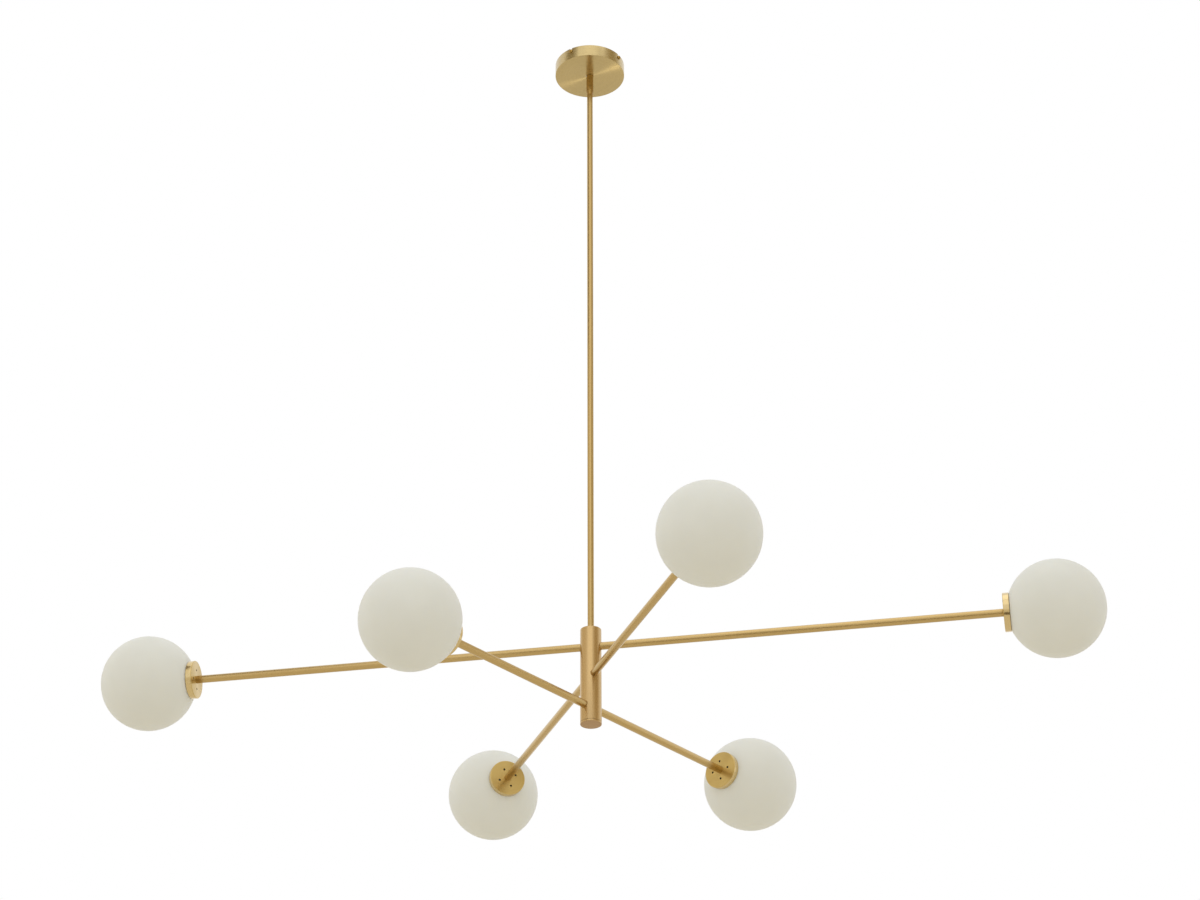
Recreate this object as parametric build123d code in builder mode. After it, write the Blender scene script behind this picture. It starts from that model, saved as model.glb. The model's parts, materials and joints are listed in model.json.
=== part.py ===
from build123d import *
from math import cos, radians, sin, sqrt
import os

# Six-light pendant: ceiling canopy, drop rod, cross-drilled hub, three straight arms
# through it at three levels, and an opal globe on a vented brass holder at each arm end.
# The origin is the centre of the ceiling plane, +Z points up and +X runs along the long arm.

# Fits and gaps shared by several pieces
fit_gap = 0.05          # radial clearance of threads and of tubes in their holes
skin_gap = 0.3          # clearance between pieces that move apart
overrun = 5.0           # how far a cutting shape runs past the face it cuts

# Overall sizes
globe_r = 75.0          # outside radius of an opal globe
long_reach = 714.0      # hub axis to globe centre on the top arm
middle_reach = 495.0    # the same on the middle arm
short_reach = 398.0     # the same on the bottom arm
rod_exposed = 1076.0    # drop rod and collar seen between canopy and hub
arm_turn = -60.0        # degrees from one arm to the arm below it

# Lighting thread: hollow nipples and their thin hexagon nuts
nipple_r = 5.0
nipple_bore_r = 3.5
nut_flat = 14.0
nut_t = 3.0
washer_r = 9.0
washer_t = 1.0

# Canopy
canopy_r = 60.0
canopy_h = 22.0
canopy_wall = 1.2
canopy_edge = 0.6       # rounding of the lower edge
canopy_turn = -22.5     # degrees from the long arm to the first side screw

# Ceiling bracket inside the canopy
bracket_t = 1.5
bracket_disc_r = 25.0
strap_w = 20.0
ear_gap = 0.5           # ear to the inside of the canopy wall
ear_drop = 13.0
ear_round = 3.0
pan_r = 15.0            # inside radius of the pressed pan
pan_depth = 8.0
fixing_spacing = 70.0   # between the two ceiling screw holes
fixing_hole_r = 2.6

# Canopy side screws
side_screw_r = 2.0
side_screw_drop = 6.5   # below the ceiling plane
side_screw_len = 9.0
side_head_r = 3.5
side_head_h = 2.6
dome_share = 0.8        # of the head's height that is rounded
notch_gap = 0.4

# Terminal block and earth screw
block_len = 25.0
block_w = 17.0
block_h = 13.0
block_start = 21.0      # from the stem axis to the block
block_shoulder = 3.0
pole_count = 3
wire_entry_r = 2.2
clamp_screw_r = 1.6
clamp_screw_h = 1.2
driver_slot_w = 0.6
driver_slot_depth = 0.5
earth_screw_r = 2.0
earth_head_r = 3.8
earth_head_h = 2.4
earth_reach = 36.0
earth_cup_r = 5.2
earth_cup_t = 0.8

# Stem: nipple, collar and drop rod
swivel_gap = 0.2        # axial play of the stem in the bracket
nipple_stand = 1.0      # nipple above its nut
nipple_in_collar = 28.0
bush_flange_t = 1.2
bush_len = 6.0
bush_bore_r = 2.6
collar_r = 6.1
collar_below = 41.0     # collar seen below the canopy
collar_taper = 6.0
collar_lip = 0.4        # wall left at the tapered end
rod_r = 5.0
rod_wall = 1.0
rod_in_collar = 22.0

# Hub
hub_r = 16.5
hub_h = 160.0
hub_wall = 2.0
hub_top_t = 4.0
hub_edge = 0.8
arm_pitch = 51.0        # between arm levels
cap_t = 3.0
cap_seam = 0.3
cap_spigot = 5.0
cap_edge = 0.5
rod_below_nut = 1.5

# Arms
arm_r = 6.0
wire_window_len = 16.0
wire_window_w = 7.0

# Globe holders
holder_r = 30.0
holder_h = 9.5
holder_floor = 1.8
holder_wall = 1.8
holder_edge = 1.2
vent_count = 4
vent_r = 1.8
vent_ring_r = 15.0
gasket_w = 4.0
gasket_t = 1.0
lamp_nipple_in_arm = 14.0
lamp_nipple_stand = 1.5

# Opal globe
glass_t = 3.0
neck_gap = 0.3          # glass neck to holder wall

# Socket bracket, ceramic socket and capsule lamp
lug_t = 1.2
lug_w = 12.0
lug_h = 15.0
lug_corner = 1.0
socket_r = 8.3
socket_h = 21.5
socket_head_r = 10.0
socket_head_h = 8.0
socket_edge = 1.0
socket_stand = 0.8      # socket above the nipple end
screw_r = 1.5
screw_head_r = 2.7
screw_head_h = 1.5
screw_in = 3.0
screw_height = 10.0     # socket screws above the bracket base
pin_spacing = 9.0
pin_w = 3.0
pin_t = 0.9
pin_len = 8.0
pin_gap = 0.35
lamp_base_r = 7.4
lamp_base_h = 9.0
lamp_r = 8.0
lamp_h = 45.0
lamp_step = 0.8
lamp_dome = 6.5

# Levels along Z
canopy_top_z = -skin_gap
canopy_face_z = canopy_top_z - canopy_h
pan_floor_z = -pan_depth
pan_under_z = pan_floor_z - bracket_t
stem_washer_z = pan_floor_z + swivel_gap
stem_nut_z = stem_washer_z + washer_t
nipple_top_z = stem_nut_z + nut_t + nipple_stand
collar_top_z = pan_under_z - swivel_gap
collar_end_z = canopy_face_z - collar_below
rod_top_z = collar_end_z + rod_in_collar
hub_top_z = canopy_face_z - rod_exposed
hub_bottom_z = hub_top_z - hub_h
hub_open_z = hub_bottom_z + cap_t + cap_seam
hub_margin = (hub_h - 2 * arm_pitch) / 2
rod_end_z = hub_top_z - hub_top_t - washer_t - nut_t - rod_below_nut

# Sizes that follow from the others
canopy_inside_r = canopy_r - canopy_wall
ear_face_r = sqrt((canopy_inside_r - ear_gap) ** 2 - (strap_w / 2) ** 2)
thread_hole_r = nipple_r + fit_gap
holder_bore_r = holder_r - holder_wall
neck_r = holder_bore_r - neck_gap
neck_bore_r = neck_r - glass_t
glass_inside_r = globe_r - glass_t
globe_centre = holder_h + skin_gap + sqrt(globe_r**2 - holder_bore_r**2)
neck_end = holder_floor + gasket_t + skin_gap
bracket_base = holder_floor + nut_t
lamp_nipple_end = bracket_base + lug_t + lamp_nipple_stand
socket_base = lamp_nipple_end + socket_stand
socket_face = socket_base + socket_h
lug_inside = socket_r + skin_gap
lamp_seat = socket_face + skin_gap

# Arms from the top down: name, level, direction in degrees and reach to the globes
arms = []
for step, (arm_name, reach) in enumerate(
    [("long", long_reach), ("middle", middle_reach), ("short", short_reach)]
):
    arm_z = hub_top_z - hub_margin - step * arm_pitch
    arms.append((arm_name, arm_z, step * arm_turn, reach))

# Each arm carries two lights. The vents of every holder stop at their own angle,
# because each holder is screwed up tight on its arm.
vent_turns = {
    "long_right": 20.0,
    "long_left": 75.0,
    "middle_near": 35.0,
    "middle_far": 66.5,
    "short_near": 60.0,
    "short_far": 88.0,
}
light_ends = {"long": ("right", "left"), "middle": ("near", "far"), "short": ("near", "far")}

os.makedirs("parts", exist_ok=True)


def save(piece, piece_name):
    piece.label = piece_name
    export_step(piece, f"parts/{piece_name}.step")


def hexagon_nut(bottom):
    """Thin hexagon nut on the lighting thread, its lower face at the given height."""
    with BuildPart() as nut:
        with BuildSketch(Plane.XY.offset(bottom)):
            RegularPolygon(nut_flat / 2, 6, major_radius=False)
            Circle(thread_hole_r, mode=Mode.SUBTRACT)
        extrude(amount=nut_t)
    return nut.part


def flat_washer(bottom):
    """Round washer for the lighting thread, its lower face at the given height."""
    with BuildPart() as washer:
        with BuildSketch(Plane.XY.offset(bottom)):
            Circle(washer_r)
            Circle(thread_hole_r, mode=Mode.SUBTRACT)
        extrude(amount=washer_t)
    return washer.part


def tube(outer_r, inner_r, bottom, top):
    """Straight round tube along Z between two heights."""
    with BuildPart() as pipe:
        with BuildSketch(Plane.XY.offset(bottom)):
            Circle(outer_r)
            Circle(inner_r, mode=Mode.SUBTRACT)
        extrude(amount=top - bottom)
    return pipe.part


# Ceiling bracket: a cross of four straps with turned-down ears, round a pressed pan
screw_turns = [canopy_turn + quarter * 90 for quarter in range(4)]
screw_planes = []
for turn in screw_turns:
    outward = (cos(radians(turn)), sin(radians(turn)), 0)
    screw_planes.append(Plane(origin=(0, 0, -side_screw_drop), x_dir=(0, 0, 1), z_dir=outward))

with BuildPart() as ceiling_bracket:
    with BuildSketch(Plane.XY.offset(-bracket_t)):
        Circle(bracket_disc_r)
        with PolarLocations(0, 4, start_angle=canopy_turn):
            Rectangle(ear_face_r, strap_w, align=(Align.MIN, Align.CENTER))
    extrude(amount=bracket_t)
    with BuildSketch(Plane.XY.offset(-ear_drop)):
        with PolarLocations(ear_face_r, 4, start_angle=canopy_turn):
            Rectangle(bracket_t, strap_w, align=(Align.MAX, Align.CENTER))
    extrude(amount=ear_drop)
    ear_corners = ceiling_bracket.edges().filter_by(lambda e: abs(e.length - bracket_t) < fit_gap)
    fillet(ear_corners.group_by(Axis.Z)[0], radius=ear_round)
    with BuildSketch(Plane.XY.offset(pan_under_z)):
        Circle(pan_r + bracket_t)
    extrude(amount=-pan_under_z)
    with BuildSketch(Plane.XY.offset(pan_floor_z)):
        Circle(pan_r)
    extrude(amount=pan_depth + overrun, mode=Mode.SUBTRACT)
    with BuildSketch(Plane.XY.offset(pan_under_z)):
        Circle(thread_hole_r)
    extrude(amount=bracket_t, mode=Mode.SUBTRACT)
    with BuildSketch(Plane.XY.offset(-bracket_t)):
        with PolarLocations(fixing_spacing / 2, 2, start_angle=canopy_turn):
            Circle(fixing_hole_r)
        with PolarLocations(earth_reach, 1, start_angle=canopy_turn - 90):
            Circle(earth_screw_r + fit_gap)
    extrude(amount=bracket_t, mode=Mode.SUBTRACT)
    for screw_plane in screw_planes:
        with BuildSketch(screw_plane.offset(ear_face_r - bracket_t)):
            Circle(side_screw_r + fit_gap)
        extrude(amount=bracket_t, mode=Mode.SUBTRACT)
save(ceiling_bracket.part, "ceiling_bracket")

# Canopy: a spun cup, open to the ceiling, with a U notch at the rim for each side screw
with BuildPart() as canopy:
    with BuildSketch(Plane.XY.offset(canopy_face_z)):
        Circle(canopy_r)
    extrude(amount=canopy_h)
    fillet(canopy.edges().group_by(Axis.Z)[0], radius=canopy_edge)
    with BuildSketch(Plane.XY.offset(canopy_face_z + canopy_wall)):
        Circle(canopy_inside_r)
    extrude(amount=canopy_h, mode=Mode.SUBTRACT)
    with BuildSketch(Plane.XY.offset(canopy_face_z)):
        Circle(collar_r + skin_gap)
    extrude(amount=canopy_wall, mode=Mode.SUBTRACT)
    for screw_plane in screw_planes:
        with BuildSketch(screw_plane.offset(ear_face_r)):
            Circle(side_screw_r + notch_gap)
            Rectangle(
                side_screw_drop + overrun,
                2 * (side_screw_r + notch_gap),
                align=(Align.MIN, Align.CENTER),
            )
        extrude(amount=canopy_r - ear_face_r + overrun, mode=Mode.SUBTRACT)
save(canopy.part, "canopy")

# Side screws: domed heads outside the canopy, shanks in the ears of the bracket
with BuildPart() as side_screw:
    with BuildSketch(Plane.XY.offset(canopy_r + skin_gap)):
        Circle(side_head_r)
    extrude(amount=side_head_h)
    fillet(side_screw.edges().group_by(Axis.Z)[-1], radius=side_head_h * dome_share)
    with BuildSketch(Plane.XY.offset(canopy_r + skin_gap)):
        Circle(side_screw_r)
    extrude(amount=-side_screw_len)
side_screws = [side_screw.part.moved(plane.location) for plane in screw_planes]
save(Compound(children=side_screws), "canopy_screws")

# Terminal block under one strap of the bracket, with three poles side by side
block_plane = Plane(
    origin=(0, 0, -bracket_t),
    x_dir=(cos(radians(canopy_turn + 90)), sin(radians(canopy_turn + 90)), 0),
    z_dir=(0, 0, -1),
)
block_middle = block_start + block_len / 2
pole_pitch = block_len / pole_count
with BuildPart() as terminal_block:
    with BuildSketch(block_plane):
        with Locations((block_middle, 0)):
            Rectangle(block_len, block_w)
    extrude(amount=block_h - block_shoulder)
    with BuildSketch(block_plane.offset(block_h - block_shoulder)):
        with Locations((block_middle, 0)):
            with GridLocations(pole_pitch, 0, pole_count, 1):
                Rectangle(pole_pitch - 2 * driver_slot_w, block_w - 2 * block_shoulder)
    extrude(amount=block_shoulder)
    with BuildSketch(block_plane.offset(block_h)):
        with Locations((block_middle, 0)):
            with GridLocations(pole_pitch, block_w / 3, pole_count, 2):
                Circle(clamp_screw_r + fit_gap)
    extrude(amount=-2 * clamp_screw_h, mode=Mode.SUBTRACT)
    entry_plane = Plane(
        origin=block_plane.from_local_coords((block_middle, block_w / 2, block_h / 2)),
        x_dir=block_plane.x_dir,
        z_dir=block_plane.y_dir,
    )
    with BuildSketch(entry_plane):
        with GridLocations(pole_pitch, 0, pole_count, 1):
            Circle(wire_entry_r)
    extrude(amount=-block_w, mode=Mode.SUBTRACT)
save(terminal_block.part, "terminal_block")

# Clamp screws of the terminal block, two for each pole, with a driver slot
with BuildPart() as terminal_screws:
    with BuildSketch(block_plane.offset(block_h - 2 * clamp_screw_h)):
        with Locations((block_middle, 0)):
            with GridLocations(pole_pitch, block_w / 3, pole_count, 2):
                Circle(clamp_screw_r)
    extrude(amount=clamp_screw_h)
    with BuildSketch(block_plane.offset(block_h - clamp_screw_h)):
        with Locations((block_middle, 0)):
            with GridLocations(pole_pitch, block_w / 3, pole_count, 2):
                Rectangle(2 * clamp_screw_r + fit_gap, driver_slot_w)
    extrude(amount=-driver_slot_depth, mode=Mode.SUBTRACT)
save(terminal_screws.part, "terminal_screws")

# Earth screw and its cup washer under the opposite strap
earth_plane = Plane(
    origin=(
        earth_reach * cos(radians(canopy_turn - 90)),
        earth_reach * sin(radians(canopy_turn - 90)),
        -bracket_t,
    ),
    z_dir=(0, 0, -1),
)
with BuildPart() as earth_cup:
    with BuildSketch(earth_plane):
        Circle(earth_cup_r)
        Circle(earth_screw_r + fit_gap, mode=Mode.SUBTRACT)
    extrude(amount=earth_cup_t)
save(earth_cup.part, "earth_cup_washer")

with BuildPart() as earth_screw:
    with BuildSketch(earth_plane.offset(earth_cup_t)):
        Circle(earth_head_r)
    extrude(amount=earth_head_h)
    fillet(earth_screw.edges().group_by(Axis.Z)[0], radius=earth_head_h / 2)
    with BuildSketch(earth_plane.offset(earth_cup_t)):
        Circle(earth_screw_r)
    extrude(amount=-earth_cup_t - bracket_t + skin_gap)
    with BuildSketch(earth_plane.offset(earth_cup_t + earth_head_h)):
        Rectangle(2 * earth_head_r, driver_slot_w * 2)
        Rectangle(driver_slot_w * 2, 2 * earth_head_r)
    extrude(amount=-driver_slot_depth * 2, mode=Mode.SUBTRACT)
save(earth_screw.part, "earth_screw")

# Stem: hollow nipple, washer, nut and wire bush, then the collar and the drop rod
nipple_end_z = collar_top_z - nipple_in_collar
save(tube(nipple_r, nipple_bore_r, nipple_end_z, nipple_top_z), "stem_nipple")
save(flat_washer(stem_washer_z), "stem_washer")
save(hexagon_nut(stem_nut_z), "stem_nut")

with BuildPart() as wire_bush:
    with BuildSketch(Plane.XY.offset(nipple_top_z)):
        Circle(nipple_r)
    extrude(amount=bush_flange_t)
    with BuildSketch(Plane.XY.offset(nipple_top_z)):
        Circle(nipple_bore_r - fit_gap)
    extrude(amount=-bush_len)
    with BuildSketch(Plane.XY.offset(nipple_top_z - bush_len)):
        Circle(bush_bore_r)
    extrude(amount=bush_len + bush_flange_t, mode=Mode.SUBTRACT)
    fillet(wire_bush.edges().group_by(Axis.Z)[-1].sort_by(SortBy.LENGTH)[-1], radius=bush_flange_t / 2)
save(wire_bush.part, "wire_bush")

with BuildPart() as stem_collar:
    with BuildSketch(Plane.XZ):
        with BuildLine():
            Polyline(
                (thread_hole_r, collar_end_z),
                (thread_hole_r + collar_lip, collar_end_z),
                (collar_r, collar_end_z + collar_taper),
                (collar_r, collar_top_z),
                (thread_hole_r, collar_top_z),
                close=True,
            )
        make_face()
    revolve(axis=Axis.Z)
save(stem_collar.part, "stem_collar")

save(tube(rod_r, rod_r - rod_wall, rod_end_z, rod_top_z), "drop_rod")

# Hub: a closed-top tube, cross-drilled for the arms at three levels
with BuildPart() as hub_body:
    with BuildSketch(Plane.XY.offset(hub_open_z)):
        Circle(hub_r)
    extrude(amount=hub_top_z - hub_open_z)
    chamfer(hub_body.edges().group_by(Axis.Z)[-1], length=hub_edge)
    with BuildSketch(Plane.XY.offset(hub_open_z)):
        Circle(hub_r - hub_wall)
    extrude(amount=hub_top_z - hub_top_t - hub_open_z, mode=Mode.SUBTRACT)
    with BuildSketch(Plane.XY.offset(hub_top_z)):
        Circle(rod_r + fit_gap)
    extrude(amount=-hub_top_t, mode=Mode.SUBTRACT)
    for arm_name, arm_z, direction, reach in arms:
        drill = Plane(
            origin=(0, 0, arm_z),
            x_dir=(0, 0, 1),
            z_dir=(cos(radians(direction)), sin(radians(direction)), 0),
        )
        with BuildSketch(drill):
            Circle(arm_r + fit_gap)
        extrude(amount=hub_r + overrun, both=True, mode=Mode.SUBTRACT)
save(hub_body.part, "hub_body")

hub_washer_z = hub_top_z - hub_top_t - washer_t
save(flat_washer(hub_washer_z), "hub_washer")
save(hexagon_nut(hub_washer_z - nut_t), "hub_nut")

# Hub cap: a disc flush with the hub, on a spigot that screws into its bore
with BuildPart() as hub_cap:
    with BuildSketch(Plane.XY.offset(hub_bottom_z)):
        Circle(hub_r)
    extrude(amount=cap_t)
    chamfer(hub_cap.edges().group_by(Axis.Z)[0], length=cap_edge)
    with BuildSketch(Plane.XY.offset(hub_bottom_z + cap_t)):
        Circle(hub_r - hub_wall - skin_gap)
        Circle(hub_r - 2 * hub_wall - skin_gap, mode=Mode.SUBTRACT)
    extrude(amount=cap_seam + cap_spigot)
save(hub_cap.part, "hub_cap")

# Pieces of one light, made once along +Z from the back face of the holder
with BuildPart() as holder:
    with BuildSketch():
        Circle(holder_r)
    extrude(amount=holder_h)
    fillet(holder.edges().group_by(Axis.Z)[0], radius=holder_edge)
    with BuildSketch(Plane.XY.offset(holder_floor)):
        Circle(holder_bore_r)
    extrude(amount=holder_h, mode=Mode.SUBTRACT)
    with BuildSketch():
        Circle(thread_hole_r)
        with PolarLocations(vent_ring_r, vent_count):
            Circle(vent_r)
    extrude(amount=holder_floor, mode=Mode.SUBTRACT)

with BuildPart() as gasket:
    with BuildSketch(Plane.XY.offset(holder_floor)):
        Circle(holder_bore_r - fit_gap)
        Circle(holder_bore_r - gasket_w, mode=Mode.SUBTRACT)
    extrude(amount=gasket_t)

lamp_nipple = tube(nipple_r, nipple_bore_r, -lamp_nipple_in_arm, lamp_nipple_end)
lamp_nut = hexagon_nut(holder_floor)

lug_outside = lug_inside + lug_t
screw_z = bracket_base + screw_height
with BuildPart() as socket_bracket:
    with BuildSketch(Plane.XZ):
        with BuildLine():
            Polyline(
                (-lug_outside, bracket_base + lug_h),
                (-lug_outside, bracket_base),
                (lug_outside, bracket_base),
                (lug_outside, bracket_base + lug_h),
                (lug_inside, bracket_base + lug_h),
                (lug_inside, bracket_base + lug_t),
                (-lug_inside, bracket_base + lug_t),
                (-lug_inside, bracket_base + lug_h),
                close=True,
            )
        make_face()
    extrude(amount=lug_w / 2, both=True)
    bends = socket_bracket.edges().filter_by(Axis.Y).group_by(Axis.Z)[0]
    fillet(bends, radius=lug_corner)
    with BuildSketch(Plane.XY.offset(bracket_base)):
        Circle(thread_hole_r)
    extrude(amount=lug_t, mode=Mode.SUBTRACT)
    with BuildSketch(Plane.YZ):
        with Locations((0, screw_z)):
            Circle(screw_r + fit_gap)
    extrude(amount=lug_outside + overrun, both=True, mode=Mode.SUBTRACT)

with BuildPart() as socket:
    with BuildSketch(Plane.XY.offset(socket_base)):
        Circle(socket_r)
    extrude(amount=socket_h)
    with BuildSketch(Plane.XY.offset(socket_face)):
        Circle(socket_head_r)
    extrude(amount=-socket_head_h)
    fillet(socket.edges().group_by(Axis.Z)[-1], radius=socket_edge)
    with BuildSketch(Plane.XY.offset(socket_face)):
        with GridLocations(pin_spacing, 0, 2, 1):
            Rectangle(pin_t + 2 * pin_gap, pin_w + 2 * pin_gap)
    extrude(amount=-pin_len - 2 * pin_gap, mode=Mode.SUBTRACT)
    with BuildSketch(Plane.YZ.offset(lug_inside - screw_in)):
        with Locations((0, screw_z)):
            Circle(screw_r + fit_gap)
    extrude(amount=screw_in, mode=Mode.SUBTRACT)
    with BuildSketch(Plane.YZ.offset(-lug_inside)):
        with Locations((0, screw_z)):
            Circle(screw_r + fit_gap)
    extrude(amount=screw_in, mode=Mode.SUBTRACT)

with BuildPart() as socket_screw:
    with BuildSketch(Plane.YZ.offset(lug_outside)):
        with Locations((0, screw_z)):
            Circle(screw_head_r)
    extrude(amount=screw_head_h)
    fillet(socket_screw.edges().group_by(Axis.X)[-1], radius=screw_head_h / 2)
    with BuildSketch(Plane.YZ.offset(lug_outside)):
        with Locations((0, screw_z)):
            Circle(screw_r)
    extrude(amount=fit_gap - lug_t - screw_in)

with BuildPart() as lamp:
    with BuildSketch(Plane.XZ):
        with BuildLine():
            Polyline(
                (0, lamp_seat),
                (lamp_base_r, lamp_seat),
                (lamp_base_r, lamp_seat + lamp_base_h),
                (lamp_r, lamp_seat + lamp_base_h + lamp_step),
                (lamp_r, lamp_seat + lamp_h - lamp_dome),
            )
            JernArc(
                start=(lamp_r, lamp_seat + lamp_h - lamp_dome),
                tangent=(0, 1),
                radius=lamp_dome,
                arc_size=90,
            )
            Polyline(
                (lamp_r - lamp_dome, lamp_seat + lamp_h),
                (0, lamp_seat + lamp_h),
                (0, lamp_seat),
            )
        make_face()
    revolve(axis=Axis.Z)
    with BuildSketch(Plane.XY.offset(lamp_seat)):
        with GridLocations(pin_spacing, 0, 2, 1):
            Rectangle(pin_t, pin_w)
    extrude(amount=-pin_len)

with BuildPart() as globe:
    with BuildSketch(Plane.XZ):
        with BuildLine():
            neck_top = globe_centre - sqrt(globe_r**2 - neck_r**2)
            bore_top = globe_centre - sqrt(glass_inside_r**2 - neck_bore_r**2)
            Line((neck_bore_r, neck_end), (neck_r, neck_end))
            Line((neck_r, neck_end), (neck_r, neck_top))
            ThreePointArc((neck_r, neck_top), (globe_r, globe_centre), (0, globe_centre + globe_r))
            Line((0, globe_centre + globe_r), (0, globe_centre + glass_inside_r))
            ThreePointArc(
                (0, globe_centre + glass_inside_r),
                (glass_inside_r, globe_centre),
                (neck_bore_r, bore_top),
            )
            Line((neck_bore_r, bore_top), (neck_bore_r, neck_end))
        make_face()
    revolve(axis=Axis.Z)

# Arms: one tube each, through the hub, with a window for the wires inside it.
# The lights are placed at both ends of each arm.
lamp_nipples = []
lamp_nuts = []
socket_screws = []
for arm_name, arm_z, direction, reach in arms:
    arm_end = reach - globe_centre
    arm_plane = Plane(
        origin=(0, 0, arm_z),
        x_dir=(0, 0, 1),
        z_dir=(cos(radians(direction)), sin(radians(direction)), 0),
    )
    with BuildPart() as arm:
        with BuildSketch(arm_plane):
            Circle(arm_r)
            Circle(thread_hole_r, mode=Mode.SUBTRACT)
        extrude(amount=arm_end, both=True)
        window_plane = Plane(origin=(0, 0, arm_z), x_dir=arm_plane.z_dir, z_dir=(0, 0, 1))
        with BuildSketch(window_plane):
            SlotOverall(wire_window_len, wire_window_w)
        extrude(amount=arm_r + overrun, mode=Mode.SUBTRACT)
    save(arm.part, f"arm_{arm_name}")

    for side, end_name in zip((0, 180), light_ends[arm_name]):
        light_name = f"{arm_name}_{end_name}"
        outward = (cos(radians(direction + side)), sin(radians(direction + side)), 0)
        light_plane = Plane(
            origin=(arm_end * outward[0], arm_end * outward[1], arm_z),
            x_dir=(0, 0, 1),
            z_dir=outward,
        )
        place = light_plane.location
        vent_place = place * Location((0, 0, 0), (0, 0, vent_turns[light_name]))
        save(holder.part.moved(vent_place), f"holder_{light_name}")
        save(gasket.part.moved(place), f"gasket_{light_name}")
        save(socket_bracket.part.moved(place), f"socket_bracket_{light_name}")
        save(socket.part.moved(place), f"socket_{light_name}")
        save(lamp.part.moved(place), f"lamp_{light_name}")
        save(globe.part.moved(place), f"globe_{light_name}")
        lamp_nipples.append(lamp_nipple.moved(place))
        lamp_nuts.append(lamp_nut.moved(place))
        for screw_side in (0, 180):
            screw_place = place * Location((0, 0, 0), (0, 0, screw_side))
            socket_screws.append(socket_screw.part.moved(screw_place))

save(Compound(children=lamp_nipples), "lamp_nipples")
save(Compound(children=lamp_nuts), "lamp_nuts")
save(Compound(children=socket_screws), "socket_screws")
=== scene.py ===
import json
from math import acos, ceil, cos, degrees, hypot, pi, radians, sin, tan

import bmesh
import bpy
from mathutils import Matrix, Vector


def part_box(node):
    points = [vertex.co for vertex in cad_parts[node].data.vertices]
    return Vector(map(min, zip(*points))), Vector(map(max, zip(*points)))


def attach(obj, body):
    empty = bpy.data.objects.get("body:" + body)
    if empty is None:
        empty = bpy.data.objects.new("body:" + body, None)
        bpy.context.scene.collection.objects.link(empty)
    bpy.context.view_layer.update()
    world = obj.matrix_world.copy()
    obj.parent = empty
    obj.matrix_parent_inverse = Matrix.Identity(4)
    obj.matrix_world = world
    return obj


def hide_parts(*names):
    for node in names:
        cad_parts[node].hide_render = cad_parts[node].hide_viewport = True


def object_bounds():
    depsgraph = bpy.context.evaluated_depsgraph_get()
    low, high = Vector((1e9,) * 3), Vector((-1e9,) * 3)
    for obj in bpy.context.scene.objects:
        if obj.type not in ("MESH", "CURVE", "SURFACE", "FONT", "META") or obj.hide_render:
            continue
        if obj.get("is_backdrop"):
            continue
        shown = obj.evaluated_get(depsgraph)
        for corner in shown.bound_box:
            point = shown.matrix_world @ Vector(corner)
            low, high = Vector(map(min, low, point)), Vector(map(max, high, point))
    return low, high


# Looks of a six-light pendant: satin brushed brass tubes and discs, matt opal globes.
# The CAD is in metres. Every piece here is drawn in millimetres along its own Z axis,
# and then stands where its CAD node is.

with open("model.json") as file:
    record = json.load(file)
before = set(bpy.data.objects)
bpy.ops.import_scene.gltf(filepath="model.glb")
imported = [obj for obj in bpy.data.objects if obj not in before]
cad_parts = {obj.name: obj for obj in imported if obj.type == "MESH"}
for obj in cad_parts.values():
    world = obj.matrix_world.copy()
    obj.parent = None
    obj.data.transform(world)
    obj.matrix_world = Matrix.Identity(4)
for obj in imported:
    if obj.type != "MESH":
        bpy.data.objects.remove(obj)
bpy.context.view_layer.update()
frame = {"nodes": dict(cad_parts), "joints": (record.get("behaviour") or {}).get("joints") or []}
mm = 0.001
print("frame loaded,", len(frame["nodes"]), "nodes")


# Node and colour helpers

def linearColour(hexCode):  # sRGB hex to the linear colour that the shaders take
    parts = [int(hexCode[i:i + 2], 16) / 255 for i in (0, 2, 4)]
    return tuple(p / 12.92 if p <= 0.04045 else ((p + 0.055) / 1.055) ** 2.4 for p in parts) + (1,)


def addNode(tree, kind, inputs=None, **settings):
    node = tree.nodes.new("ShaderNode" + kind)
    for name, value in settings.items():
        setattr(node, name, value)
    for socket, value in (inputs or {}).items():
        if isinstance(value, bpy.types.NodeSocket):
            tree.links.new(value, node.inputs[socket])
        else:
            node.inputs[socket].default_value = value
    return node


def newMaterial(name):
    material = bpy.data.materials.new(name)
    material.use_nodes = True
    tree = material.node_tree
    tree.nodes.clear()
    return material, tree


def finishMaterial(tree, shader):
    output = addNode(tree, "OutputMaterial")
    tree.links.new(shader.outputs[0], output.inputs["Surface"])


# Materials

brass = {
    "mid": "C4A76E",         # sand-coloured brass, as the photograph's tubes
    "deep": "BA9C61",
    "roughness": 0.28,
    "smoother": 0.05,        # how far the roughness falls and rises from line to line
    "rougher": 0.06,
    "lacquer": 0.25,         # thin clear lacquer, which whitens the glints a little
    "lacquerRoughness": 0.18,
    "grain": 0.35,           # mm between brush lines, drawn coarser than real so that they show
    "lineLength": 300,       # of the lines along a tube, in line widths
    "lineDepth": 0.012,      # mm
    "lineStrength": 0.06,
    "streak": 2.6,           # mm, the broader streaks that still show from a few metres
    "streakLength": 60,      # in streak widths
    "draw": 0.75,            # how far the lines draw a highlight out across them, 0 to 1
}


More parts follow.
